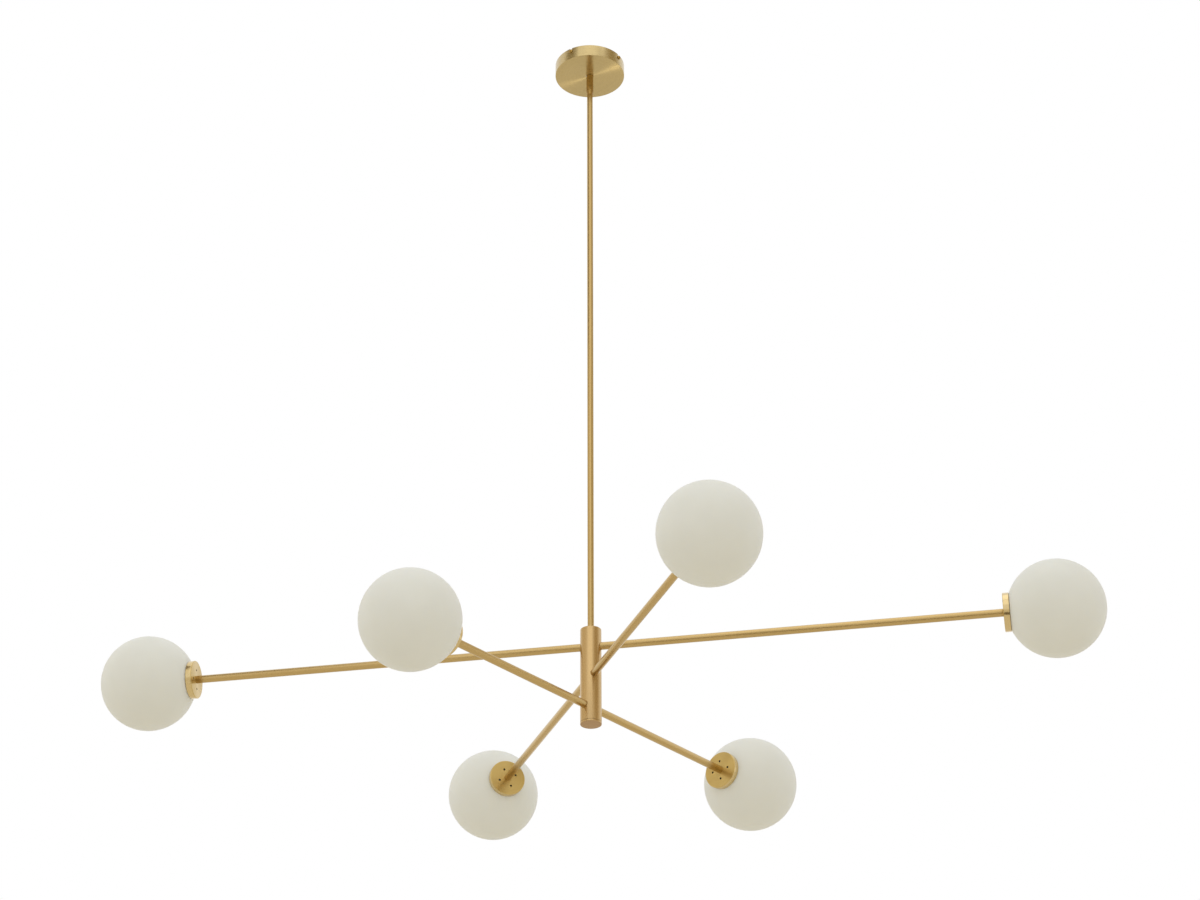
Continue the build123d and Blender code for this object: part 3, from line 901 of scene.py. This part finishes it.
def socketShape(light):
    s = socketSize
    r, low, high = span("socket_" + light, lightPlace[light])
    step = high - s["headHeight"]
    body = lathe(roundCorners([
        (0, low, 0),
        (s["body"], low, s["bodyEdge"]),
        (s["body"], step, s["stepEdge"]),
        (r, step, s["underEdge"]),
        (r, high, s["edge"]),
        (0, high, 0),
    ]), around=80)
    wide, tall = s["slot"]
    slot = block((-wide / 2, -tall / 2, high - s["slotDepth"]), (wide / 2, tall / 2, high + past))
    return carve(body, gather(slot, pinPlaces))


def lampEnvelope(seat, top, r):
    s = lampSize
    start = seat + s["baseHeight"]
    throat = r - s["throat"]
    return lathe(roundCorners([
        (0, start - s["sunk"], 0),
        (throat, start - s["sunk"], 0),
        (throat, start + s["throatHeight"], 0),
        (r, start + s["shoulder"], s["shoulderRound"]),
        (r, top, s["dome"]),
        (0, top, 0),
    ], steps=14), around=72)


def lampBase(seat):
    s = lampSize
    r = s["base"]
    corners = [(0, seat, 0), (r, seat, s["baseEdge"])]
    step = s["baseHeight"] / (2 * s["ribs"] + 1)
    for rib in range(s["ribs"]):  # grooves for the fingers
        z = seat + step * (2 * rib + 1)
        corners += [
            (r, z, s["ribEdge"]),
            (r - s["ribDepth"], z + step / 2, s["ribRound"]),
            (r, z + step, s["ribEdge"]),
        ]
    corners += [(r, seat + s["baseHeight"], s["topEdge"]), (0, seat + s["baseHeight"], 0)]
    return lathe(roundCorners(corners, steps=3), around=72)


def lampPins(seat, end, around=12):
    # each pin is a loop of wire, as on pinched capsule lamps
    s = lampSize
    half = s["pinWidth"] / 2 - s["pinWire"]
    root = seat + s["pinSunk"]
    bend = [Vector((0, p.x, p.y)) for p in arc(0, end + half + s["pinWire"], half, 0, -180, 12)]
    path = [Vector((0, half, root))] + bend + [Vector((0, -half, root))]
    across = Vector((1, 0, 0))
    rings = []
    for i, point in enumerate(path):
        run = (path[min(i + 1, len(path) - 1)] - path[max(i - 1, 0)]).normalized()
        side = run.cross(across)
        rings.append([point + s["pinWire"] * (across * cos(t) + side * sin(t)) for t in fullTurn(around)])
    rings = [[path[0]] * around] + rings + [[path[-1]] * around]
    return gather(skin(rings), pinPlaces)


for light in lights:
    place = lightPlace[light]
    lampRadius, pinEnd, lampTop = span("lamp_" + light, place)
    lampSeat = span("socket_" + light, place)[2] + lampSize["seatGap"]
    newPiece(f"socket_{light}_ceramic", socketShape(light), steatite, place,
             "stem", ["socket_" + light])
    newPiece(f"lamp_{light}_capsule", lampEnvelope(lampSeat, lampTop, lampRadius), frosted, place,
             "lamp_" + light, ["lamp_" + light])
    newPiece(f"lamp_{light}_base", lampBase(lampSeat), lampBasePlastic, place,
             "lamp_" + light, ["lamp_" + light])
    newPiece(f"lamp_{light}_pins", lampPins(lampSeat, pinEnd), pinNickel, place,
             "lamp_" + light, ["lamp_" + light])

screwSize = {
    "head": 2.7,
    "height": 1.5,
    "edge": 0.3,          # share of the height under the dome
    "radius": 1.5,
    "reach": 3.9,
    "chamfer": 0.3,
    "slot": 0.5,
    "slotDepth": 0.6,
    "slotReach": 4.0,
    "seat": 9.8,          # from the socket's axis, and up from the holder's back
    "level": 14.8,
}


def socketScrewShape():
    s = screwSize
    turns = [radians(a) for a in range(0, 91, 15)]
    dome = [(s["head"] * cos(t), s["height"] * (s["edge"] + (1 - s["edge"]) * sin(t))) for t in turns]
    outline = [(0, -s["reach"]), (s["radius"], -s["reach"] + s["chamfer"]), (s["radius"], 0), (s["head"], 0)]
    outline += dome[:-1] + [(0, dome[-1][1])]
    reach, half = s["slotReach"], s["slot"] / 2
    slot = block((-reach, -half, s["height"] - s["slotDepth"]), (reach, half, s["height"] + past))
    return carve(lathe(outline, around=32), slot)


seated = Matrix.Translation((screwSize["seat"], 0, screwSize["level"])) @ Matrix.Rotation(radians(90), 4, "Y")
sides = [Matrix.Rotation(radians(a), 4, "Z") @ seated for a in (0, 180)]
socketScrewPlaces = [inMillimetres(lightPlace[light]) @ side for light in lights for side in sides]
everyLight = [inMillimetres(place) for place in lightPlace.values()]
firstPlace = lightPlace[lights[0]]
nipples = gather(nippleShape("lamp_nipples", firstPlace, nearOne), everyLight)
nuts = gather(nutShape("lamp_nuts", firstPlace, nearOne), everyLight)
newPiece("socket_screws_domed", gather(socketScrewShape(), socketScrewPlaces), zinc, upright,
         "stem", ["socket_screws"])
newPiece("lamp_nipples_thread", nipples, zinc, upright, "stem", ["lamp_nipples"])
newPiece("lamp_nuts_hex", nuts, zinc, upright, "stem", ["lamp_nuts"])
print("sockets and lamps done")


# CAD nodes whose shape is right keep it and get their finish

finishes = {
    zinc: ["ceiling_bracket", "stem_washer", "hub_washer", "earth_cup_washer", "terminal_screws"],
    screwShadedBrass: ["earth_screw"],
    nylon: ["terminal_block", "wire_bush"],
}
finishes[zinc] += ["socket_bracket_" + light for light in lights]
for finish, nodes in finishes.items():
    for node in nodes:
        mesh = frame["nodes"][node].data
        mesh.materials.clear()
        mesh.materials.append(finish)
print("kept nodes finished")


# Studio: pale floor, soft light from large panels, white surroundings

cameraSize = {
    "place": (0.6969, -3.7471, -2.9667),
    "heading": 10.3052,   # degrees
    "tilt": 29.8906,
    "roll": 0.2164,
    "lens": 81.84,
    "sensor": 36,
    "farthest": 100,
}
studio = {
    "floor": -5.0,
    "floorReach": 30,
    "floorColour": "EEE8DA",
    "ambient": 0.89,
    "ambientColour": "FFFEFB",
    "middle": (0, 0, -1.0),
    "flagEdge": "FBF9F4",
    "flagFade": 3,        # a flag fades over this part of its width at each end: a third
}
panels = [  # name, degrees round from the camera, degrees up, distance, width, height, watts, colour
    ("overheadLeft", -12, 36, 4.2, 4.4, 2.4, 9, "FFFFFA"),
    ("overheadTop", 20, 74, 4.0, 2.6, 2.6, 10, "FFFFFA"),
    ("leftSide", -100, 12, 4.0, 1.8, 3.0, 5, "FFFBF2"),
]
# Glowing sheets seen only in the brass: painted reflections, each tinted to the dark or light band it paints.
reflectionSheets = [  # name, degrees round from the camera from and to, lowest and highest edge, distance, colour
    ("leftFlag", -92, -38, 1.3, 4.2, 3.2, "66552C"),
    ("rightFlag", 50, 116, 1.3, 4.2, 3.2, "AE9D78"),
    ("lowLeftFlag", -136, -36, -0.4, 1.3, 3.2, "E9E0CB"),
    ("lowRightFlag", 18, 100, -0.4, 1.3, 3.2, "C0AF8A"),
    ("cameraFlag", -40, 40, -3.7, -2.6, 3.2, "5E4E30"),
]
streakSpot = {
    "turn": 166,          # degrees round from the camera
    "drop": 44.6,         # degrees down
    "distance": 2.4,
    "radius": 0.06,
    "cone": 5.5,          # degrees
    "softEdge": 0.3,
    "watts": 1.8,
    "colour": "FFF9EC",
}


def makeCamera():
    s = cameraSize
    data = bpy.data.cameras.new("photographCamera")
    data.lens = s["lens"]
    data.sensor_width = s["sensor"]
    data.clip_end = s["farthest"]
    camera = bpy.data.objects.new("photographCamera", data)
    heading = Matrix.Rotation(radians(s["heading"]), 4, "Z")
    tilt = Matrix.Rotation(radians(90 + s["tilt"]), 4, "X")
    roll = Matrix.Rotation(radians(-s["roll"]), 4, "Z")
    camera.matrix_world = Matrix.Translation(s["place"]) @ (heading @ tilt @ roll)
    bpy.context.scene.collection.objects.link(camera)
    bpy.context.scene.camera = camera


def aroundCamera(turn):
    azimuth = radians(cameraSize["heading"] + turn)
    return Vector((sin(azimuth), -cos(azimuth), 0))


def upFrom(level, rise):  # a level direction turned up by some degrees
    return level * cos(radians(rise)) + Vector((0, 0, sin(radians(rise))))


def makePanel(name, turn, rise, distance, width, height, watts, colour):
    data = bpy.data.lights.new(name, "AREA")
    data.shape = "RECTANGLE"
    data.size = width
    data.size_y = height
    data.energy = watts
    data.color = linearColour(colour)[:3]
    panel = bpy.data.objects.new(name, data)
    out = upFrom(aroundCamera(turn), rise)
    panel.location = Vector(studio["middle"]) + out * distance
    panel.rotation_euler = out.to_track_quat("Z", "Y").to_euler()
    panel.visible_camera = False
    bpy.context.scene.collection.objects.link(panel)


def makeWorld():
    # lights everything softly; what looks straight at it or mirrors it sees plain white
    world = bpy.data.worlds.new("whiteStudio")
    world.use_nodes = True
    tree = world.node_tree
    tree.nodes.clear()
    path = addNode(tree, "LightPath")
    mirrored = addNode(tree, "Math", {
        0: path.outputs["Is Glossy Ray"], 1: path.outputs["Is Transmission Ray"]}, operation="MAXIMUM")
    seen = addNode(tree, "Math", {
        0: path.outputs["Is Camera Ray"], 1: mirrored.outputs[0]}, operation="MAXIMUM")
    soft = addNode(tree, "Background", {
        "Color": linearColour(studio["ambientColour"]), "Strength": studio["ambient"]})
    white = addNode(tree, "Background", {"Color": (1, 1, 1, 1), "Strength": 1.0})
    both = addNode(tree, "MixShader", {0: seen.outputs[0], 1: soft.outputs[0], 2: white.outputs[0]})
    output = addNode(tree, "OutputWorld")
    tree.links.new(both.outputs[0], output.inputs["Surface"])
    bpy.context.scene.world = world


def makeFloor():
    # painted studio floor, open to views from below
    material, tree = newMaterial("mattStudioFloor")
    place = addNode(tree, "TexCoord").outputs["Object"]
    noise = addNode(tree, "TexNoise", {"Vector": place, "Scale": 3.0, "Detail": 3.0})
    gloss = addNode(tree, "MapRange", {"Value": noise.outputs["Fac"], "To Min": 0.75, "To Max": 0.85})
    paint = addNode(tree, "BsdfPrincipled", {
        "Base Color": linearColour(studio["floorColour"]), "Roughness": gloss.outputs[0]})
    clear = addNode(tree, "BsdfTransparent")
    under = addNode(tree, "NewGeometry")
    both = addNode(tree, "MixShader", {
        0: under.outputs["Backfacing"], 1: paint.outputs[0], 2: clear.outputs[0]})
    finishMaterial(tree, both)
    bm = bmesh.new()
    bmesh.ops.create_grid(bm, x_segments=8, y_segments=8, size=studio["floorReach"])
    mesh = bpy.data.meshes.new("studioFloor")
    bm.to_mesh(mesh)
    bm.free()
    mesh.materials.append(material)
    floor = bpy.data.objects.new("studioFloor", mesh)
    floor.location = (0, 0, studio["floor"])
    bpy.context.scene.collection.objects.link(floor)
    floor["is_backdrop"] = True


def reflectionOnly(thing):  # seen in the brass and the other glossy pieces, and not part of the lamp
    bpy.context.scene.collection.objects.link(thing)
    for ray in ("camera", "diffuse", "transmission", "volume_scatter", "shadow"):
        setattr(thing, "visible_" + ray, False)
    thing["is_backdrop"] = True


def makeReflectionSheet(name, start, end, low, high, distance, colour, steps=36):
    # curved sheet beside the lamp, seen only in reflections, that glows in its own colour to paint reflected
    # bands into the brass, and fades into the white surroundings at both ends
    material, tree = newMaterial(name + "Cloth")
    fade = addNode(tree, "Attribute", attribute_name="fade")
    shade = addNode(tree, "Mix", {
        "Factor": fade.outputs["Fac"],
        "A": linearColour(studio["flagEdge"]),
        "B": linearColour(colour),
    }, data_type="RGBA")
    glow = addNode(tree, "Emission", {"Color": shade.outputs["Result"], "Strength": 1.0})
    finishMaterial(tree, glow)
    columns = [aroundCamera(start + (end - start) * i / steps) * distance for i in range(steps + 1)]
    corners = [column + Vector((0, 0, z)) for column in columns for z in (low, high)]
    mesh = bpy.data.meshes.new(name)
    mesh.from_pydata(corners, [], [(2 * i, 2 * i + 2, 2 * i + 3, 2 * i + 1) for i in range(steps)])
    level = mesh.attributes.new("fade", "FLOAT", "POINT")
    for i in range(len(corners)):
        column = i // 2
        level.data[i].value = min(1, studio["flagFade"] * min(column, steps - column) / steps)
    mesh.materials.append(material)
    reflectionOnly(bpy.data.objects.new(name, mesh))


def makeStreakSpot():
    # narrow spot on the canopy alone, which draws the streak across its turned face
    s = streakSpot
    data = bpy.data.lights.new("streakSpot", "SPOT")
    data.energy = s["watts"]
    data.color = linearColour(s["colour"])[:3]
    data.shadow_soft_size = s["radius"]
    data.spot_size = radians(s["cone"])
    data.spot_blend = s["softEdge"]
    out = upFrom(aroundCamera(s["turn"]), -s["drop"])
    spot = bpy.data.objects.new("streakSpot", data)
    spot.location = out * s["distance"]
    spot.rotation_euler = out.to_track_quat("Z", "Y").to_euler()
    bpy.context.scene.collection.objects.link(spot)


makeStreakSpot()
for flag in reflectionSheets:
    makeReflectionSheet(*flag)
makeCamera()
makeWorld()
makeFloor()
for panel in panels:
    makePanel(*panel)
bpy.context.scene.view_settings.view_transform = "Standard"
print("studio done")

low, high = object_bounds()
